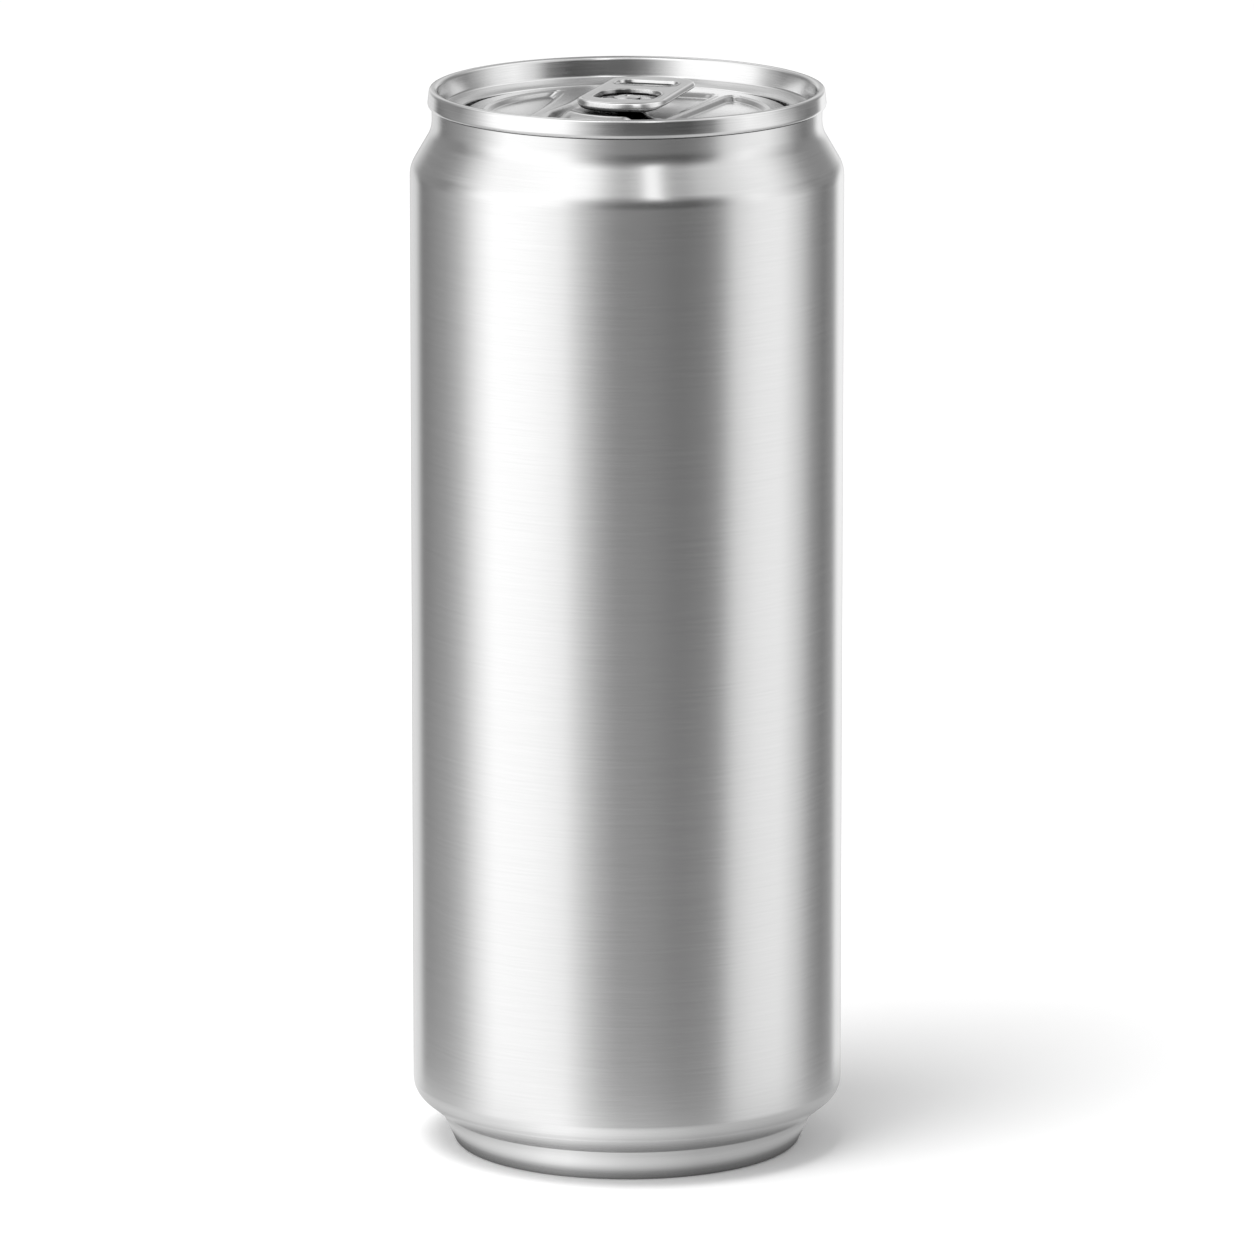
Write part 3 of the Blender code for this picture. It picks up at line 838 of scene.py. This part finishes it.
def tab_outline():
    """A round nose and a slightly bowed heel, joined by straight sides."""
    heel_corner_y = TAB_HEEL_Y - TAB_HEEL_CORNER_PLACE
    nose_shoulder_y = TAB_NOSE_Y + TAB_NOSE_SHOULDER_PLACE
    return rounded(
        [
            (-TAB_HEEL_HALF_WIDTH, heel_corner_y, TAB_HEEL_CORNER),
            (-TAB_HALF_WIDTH, nose_shoulder_y, TAB_NOSE_SHOULDER),
            (0.0, TAB_NOSE_Y - TAB_NOSE_PEAK, TAB_NOSE_BEND),
            (TAB_HALF_WIDTH, nose_shoulder_y, TAB_NOSE_SHOULDER),
            (TAB_HEEL_HALF_WIDTH, heel_corner_y, TAB_HEEL_CORNER),
            (0.0, TAB_HEEL_Y + TAB_HEEL_PEAK, TAB_HEEL_BEND),
        ],
        closed=True,
        steps=TAB_OUTLINE_STEPS,
    )


def box_outline(half_width, front, rear, front_corner, rear_corner):
    """A rectangle about x = 0, its front and its rear corners rounded."""
    return rounded(
        [
            (-half_width, rear, rear_corner),
            (-half_width, front, front_corner),
            (half_width, front, front_corner),
            (half_width, rear, rear_corner),
        ],
        closed=True,
    )


def make_tongue(shape):
    """A sheet between the tongue's outline and the rivet's hole, in rings, bent down its ramp."""
    outer = dense(tongue_outline(), TONGUE_SPACING)
    angles = np.arctan2(outer[:, 1], outer[:, 0])
    inner = (RIVET_STEM_RADIUS + TOUCH_GAP / 2) * np.column_stack([np.cos(angles), np.sin(angles)])
    top_rings = []
    for share in np.linspace(0, 1, TONGUE_RINGS):
        flat = inner + (outer - inner) * share
        heights = TONGUE_TOP_Z + TONGUE_DROP - ramp_to_tongue(flat[:, 1])
        top_rings.append(np.column_stack([flat, heights]))
    foot_rings = [ring - (0, 0, TONGUE_SHEET) for ring in reversed(top_rings)]
    first, last = shape.skin(top_rings + foot_rings)
    shape.bridge(last, first)


def tongue_outline():
    """Wider than the opening at its root, and drawn in to a round end behind the rivet."""
    shoulder = OPENING_HALF_WIDTH + TONGUE_ROOT_MARGIN
    half = [
        (shoulder, TONGUE_ROOT_Y, 0.2 * MM),
        (shoulder, TONGUE_SHOULDER_Y, 0.5 * MM),
        (TONGUE_HALF_WIDTH, TONGUE_SHOULDER_Y + TONGUE_SHOULDER_LENGTH, 0.8 * MM),
        (TONGUE_HALF_WIDTH, TONGUE_REAR_Y, 2.7 * MM),
    ]
    mirrored = [(-x, y, radius) for x, y, radius in reversed(half)]
    return rounded(half + mirrored, closed=True)


def ramp_to_tongue(y):
    """The tongue leaves the web in front of the opening level with it, and sinks to its own depth."""
    return TONGUE_DROP * smooth_step(y, RAMP_TOP_Y, -RIVET_HEAD_RADIUS)


def make_tab():
    shape = Shape()
    opening = box_outline(
        OPENING_HALF_WIDTH, OPENING_FRONT_Y, OPENING_REAR_Y, OPENING_FRONT_CORNER, OPENING_REAR_CORNER
    )
    slot = box_outline(
        SLOT_HALF_LENGTH, SLOT_FRONT_Y, SLOT_REAR_Y, SLOT_FRONT_CORNER, SLOT_REAR_CORNER
    )
    slot = [point + Vector((SLOT_OFFSET_X, 0.0)) for point in slot]
    offset = Vector((TAB_OFFSET_X, 0.0))
    outline, *holes = [[point + offset for point in loop] for loop in (tab_outline(), opening, slot)]
    rolled_plate(shape, outline, holes, (RIM_ROLL, OPENING_ROLL, SLOT_ROLL))
    make_tongue(shape)
    tab = shape.build("tab_plate", tab_metal())
    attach(tab, "root")
    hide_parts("tab")


# --- studio ----------------------------------------------------------------------------------
TENT_RADIUS = 4.0
TENT_SEGMENTS = 96
TENT_RINGS = 48
TENT_STRENGTH = 1.3
TENT_DARKEST = 0.02  # the level that the flags can't take it under
PATCH_CORE = 0.35  # how much of a lamp's half width and half height has its whole level
# Brightness of the tent round the can: degrees from the camera's direction, to the right of the
# can when positive, and a share of the tent's strength. The wall of the can mirrors its skirt, the
# end and the tab mirror its sides, and the shoulder and everything that faces up mirror its roof.
TENT_SKIRT = (
    (-180, 0.45), (-164, 0.60), (-150, 0.60), (-140, 0.14), (-128, 0.20), (-112, 0.28),
    (-100, 0.42), (-86, 0.78), (-76, 1.00), (-50, 0.92), (-34, 0.80), (-26, 0.55),
    (-16, 0.33), (-6, 0.21), (10, 0.19), (28, 0.14), (42, 0.17), (50, 0.26),
    (60, 0.60), (72, 0.74), (90, 0.80), (104, 0.56), (116, 0.26), (128, 0.14),
    (142, 0.24), (152, 0.80), (165, 0.74), (180, 0.45),
)
TENT_SIDES = (
    (-180, 0.44), (-168, 0.60), (-156, 0.42), (-146, 0.22), (-112, 0.19), (-98, 0.45),
    (-84, 0.95), (-60, 1.05), (-36, 0.95), (-24, 0.52), (-12, 0.18), (0, 0.09), (36, 0.06),
    (50, 0.18), (60, 0.62), (74, 0.85), (90, 0.72), (104, 0.42), (118, 0.19),
    (146, 0.22), (156, 0.42), (168, 0.60), (180, 0.44),
)
TENT_ROOF = (
    (-180, 0.30), (-150, 0.40), (-137, 0.56), (-121, 0.72), (-109, 0.88), (-98, 0.95), (-79, 0.90),
    (-55, 0.96), (-40, 1.00), (-26, 0.90), (-19, 0.69), (-12, 0.46), (-5, 0.32), (1, 0.30),
    (8, 0.42), (21, 0.48), (28, 0.35), (35, 0.30), (42, 0.38), (49, 0.52), (65, 0.62),
    (81, 0.72), (100, 0.88), (111, 0.86), (125, 0.80), (141, 0.50), (160, 0.30), (180, 0.30),
)
TENT_TOP = ((-180, 0.33), (180, 0.33))
TENT_FLOOR = (
    (-180, 0.52), (-150, 0.62), (-120, 0.36), (-80, 0.62), (-30, 0.52), (20, 0.34), (75, 0.62),
    (120, 0.34), (155, 0.60), (180, 0.52),
)
# Elevations, in degrees, over which each table takes over from the one below it
SKIRT_RISE = (-34, -20)
SIDES_RISE = (-4, 5)
ROOF_RISE = (18, 46)
TOP_RISE = (60, 76)
# Lamps in the tent, and flags that take light away: azimuth and half width, elevation and half
# height in degrees, and the level that each adds
TENT_LAMPS = (
    (17, 8, 46, 16, 0.62),  # a narrow strip high in front
    (-169, 13, 46, 18, 0.55),  # a lamp behind the can
    (176, 10, 58, 20, -0.14),  # and the flag beside it
    (0, 70, 67, 14, 0.65),  # a wide lamp over the camera, which the rim's crest mirrors
    (180, 10, 0, 9.4, -0.5),  # a flag along the horizon behind the can, which outlines every edge
)

FLOOR_HALF_SIZE = 6.0
GROUND_HALF_SIZE = 0.7
# The ground that the metal mirrors, by distance from the can's axis: how much of it is there,
# and how bright it is. It is darkest where the can shades it. The last table goes from its left
# side, -1, over the middle to its right side, 1, which is turned away from the key light.
GROUND_COVER = ((0.0, 1.0), (0.046, 1.0), (0.060, 0.30), (0.10, 0.14), (0.36, 0.04), (0.65, 0.0))
GROUND_LIGHT = (
    (0.0, 0.05), (0.0228, 0.08), (0.0243, 0.27), (0.0250, 0.70), (0.0258, 0.86), (0.0268, 0.62),
    (0.0290, 0.66), (0.033, 0.80), (0.045, 0.84),
)
GROUND_SIDES = (
    (-1.0, 0.80), (-0.85, 0.98), (-0.70, 1.10), (-0.58, 1.24), (-0.48, 1.38), (-0.36, 1.40),
    (-0.20, 1.20), (0.0, 0.97), (0.45, 0.66), (1.0, 0.60),
)

WORLD_STRENGTH = 0.66
# Lamps that the metal doesn't mirror: name, diameter, watts, and how far to the right of the can,
# above the floor and towards the camera they hang
FLOOR_LAMPS = (
    ("key", 1.7, 52.0, (-0.75, 3.0, 0.68)),
    ("fill", 2.0, 24.0, (-1.8, 1.3, 1.9)),
)


def floor_material():
    material, _, shader = new_material("floor_paint")
    shader.inputs["Base Color"].default_value = (0.97, 0.97, 0.97, 1.0)
    shader.inputs["Roughness"].default_value = 0.9
    shader.inputs["Specular IOR Level"].default_value = 0.0
    return material


def glow_material(name):
    """A bare tree for a surface that shines and takes no light."""
    material = bpy.data.materials.new(name)
    material.use_nodes = True
    material.node_tree.nodes.clear()
    material.cycles.emission_sampling = "NONE"
    return material, material.node_tree


def studio_place(tree):
    """Where a point is, in metres: to the right of the can, towards the camera, and up."""
    place = node(tree, "ShaderNodeNewGeometry").outputs["Position"]
    seen = node(tree, "ShaderNodeVectorRotate", {"Vector": place, "Angle": -CAMERA_AZIMUTH},
                rotation_type="Z_AXIS").outputs[0]
    axes = node(tree, "ShaderNodeSeparateXYZ", {0: seen})
    return axes.outputs["X"], math_node(tree, "MULTIPLY", axes.outputs["Y"], -1.0), axes.outputs["Z"]


def level_at(tree, value, stops):
    """Reads a table of (value, level) stops, whose last value is the largest."""
    low, high = stops[0][0], stops[-1][0]
    share = node(tree, "ShaderNodeMapRange", {"Value": value, "From Min": low, "From Max": high})
    shares = [((place - low) / (high - low), level) for place, level in stops]
    return ramp_node(tree, share.outputs[0], shares)


def soft_patch(tree, value, half_width):
    """1 where the value is near 0, falling smoothly to 0 half_width away from it."""
    away = math_node(tree, "ABSOLUTE", value)
    return node(tree, "ShaderNodeMapRange",
                {"Value": away, "From Min": half_width, "From Max": PATCH_CORE * half_width},
                interpolation_type="SMOOTHSTEP").outputs[0]


def plane(name, half_size, material):
    bpy.ops.mesh.primitive_plane_add(size=2 * half_size)
    obj = bpy.context.object
    obj.name = name
    obj.data.materials.append(material)
    return obj


def seen_only_by(obj, camera=False, diffuse=False, glossy=False, shadow=False):
    """Hides an object from every kind of ray that isn't named."""
    obj.visible_camera = camera
    obj.visible_diffuse = diffuse
    obj.visible_glossy = glossy
    obj.visible_shadow = shadow
    obj.visible_transmission = False
    obj.visible_volume_scatter = False


def make_floor():
    ground = plane("floor", FLOOR_HALF_SIZE, floor_material())
    seen_only_by(ground, camera=True, diffuse=True, shadow=True)


def make_mirrored_ground():
    """The lit ground close to the can, as the metal mirrors it."""
    ground = plane("mirrored_ground", GROUND_HALF_SIZE, ground_glow())
    seen_only_by(ground, glossy=True)


def ground_glow():
    material, tree = glow_material("ground_light")
    right, towards, _ = studio_place(tree)
    flat = node(tree, "ShaderNodeCombineXYZ", {0: right, 1: towards}).outputs[0]
    away = node(tree, "ShaderNodeVectorMath", {0: flat}, operation="LENGTH").outputs["Value"]
    shade = level_at(tree, math_node(tree, "DIVIDE", right, away), GROUND_SIDES)
    level = math_node(tree, "MULTIPLY", level_at(tree, away, GROUND_LIGHT), shade)
    light = node(tree, "ShaderNodeEmission", {"Strength": level}).outputs[0]
    gone = node(tree, "ShaderNodeBsdfTransparent").outputs[0]
    cover = level_at(tree, away, GROUND_COVER)
    mixed = node(tree, "ShaderNodeMixShader", {0: cover, 1: gone, 2: light}).outputs[0]
    node(tree, "ShaderNodeOutputMaterial", {"Surface": mixed})
    return material


def tent_glow():
    """Bands of lit cloth and dark flags round the can, and the lamps and flags laid over them."""
    material, tree = glow_material("tent_light")
    right, towards, up = studio_place(tree)
    azimuth = math_node(tree, "ARCTAN2", right, towards)
    degrees = math_node(tree, "DEGREES", azimuth)
    elevation = math_node(tree, "ARCSINE", math_node(tree, "DIVIDE", up, TENT_RADIUS))
    rise = math_node(tree, "DEGREES", elevation)
    level = level_at(tree, degrees, TENT_FLOOR)
    tables = (
        (TENT_SKIRT, SKIRT_RISE),
        (TENT_SIDES, SIDES_RISE),
        (TENT_ROOF, ROOF_RISE),
        (TENT_TOP, TOP_RISE),
    )
    for table, (starts, whole) in tables:
        share = node(tree, "ShaderNodeMapRange",
                     {"Value": rise, "From Min": starts, "From Max": whole},
                     interpolation_type="SMOOTHSTEP").outputs[0]
        level = node(tree, "ShaderNodeMix",
                     {"Factor": share, 2: level, 3: level_at(tree, degrees, table)}).outputs[0]
    for lamp_azimuth, half_width, lamp_elevation, half_height, added in TENT_LAMPS:
        around = math_node(tree, "SUBTRACT", azimuth, math.radians(lamp_azimuth))
        around = math_node(tree, "WRAP", around, math.pi, -math.pi)
        above = math_node(tree, "SUBTRACT", elevation, math.radians(lamp_elevation))
        sideways = soft_patch(tree, around, math.radians(half_width))
        upwards = soft_patch(tree, above, math.radians(half_height))
        lamp = math_node(tree, "MULTIPLY", sideways, upwards)
        level = math_node(tree, "ADD", level, math_node(tree, "MULTIPLY", lamp, added))
    level = math_node(tree, "MAXIMUM", level, TENT_DARKEST)
    strength = math_node(tree, "MULTIPLY", level, TENT_STRENGTH)
    light = node(tree, "ShaderNodeEmission", {"Strength": strength}).outputs[0]
    node(tree, "ShaderNodeOutputMaterial", {"Surface": light})
    return material


def make_tent():
    """What the metal mirrors: a wide round of lit cloth and dark flags, seen by reflections alone."""
    bpy.ops.mesh.primitive_uv_sphere_add(
        segments=TENT_SEGMENTS, ring_count=TENT_RINGS, radius=TENT_RADIUS
    )
    tent = bpy.context.object
    tent.name = "light_tent"
    tent.data.materials.append(tent_glow())
    seen_only_by(tent, glossy=True)


def from_camera(right, up, towards):
    """A place given to the right of the can, above the floor and towards the camera."""
    flat = Matrix.Rotation(CAMERA_AZIMUTH, 3, "Z")
    return flat @ Vector((right, -towards, up))


def floor_lamp(name, size, power, place):
    """A round soft lamp that the metal doesn't mirror, pointed at the can's foot."""
    lamp = bpy.data.lights.new(name, "AREA")
    lamp.shape = "DISK"
    lamp.size = size
    lamp.energy = power
    obj = bpy.data.objects.new(name, lamp)
    obj.location = place
    obj.rotation_euler = (-place).to_track_quat("-Z", "Y").to_euler()
    obj.visible_glossy = False
    bpy.context.scene.collection.objects.link(obj)


def make_lights():
    world = bpy.data.worlds.new("studio_air")
    bpy.context.scene.world = world
    world.use_nodes = True
    background = world.node_tree.nodes["Background"]
    background.inputs["Color"].default_value = (1.0, 1.0, 1.0, 1.0)
    background.inputs["Strength"].default_value = WORLD_STRENGTH
    world.cycles_visibility.glossy = False
    for name, size, power, place in FLOOR_LAMPS:
        floor_lamp(name, size, power, from_camera(*place))


def make_camera():
    data = bpy.data.cameras.new("camera")
    data.lens = CAMERA_LENS
    camera = bpy.data.objects.new("camera", data)
    camera.location = from_camera(right=0.0, up=CAMERA_HEIGHT, towards=CAMERA_DISTANCE)
    camera.rotation_euler = (math.pi / 2 - CAMERA_PITCH, 0.0, CAMERA_AZIMUTH)
    bpy.context.scene.collection.objects.link(camera)
    bpy.context.scene.camera = camera


bpy.context.scene.view_settings.view_transform = "Standard"
make_camera()
make_body()
make_end()
make_tab()
make_floor()
make_mirrored_ground()
make_tent()
make_lights()
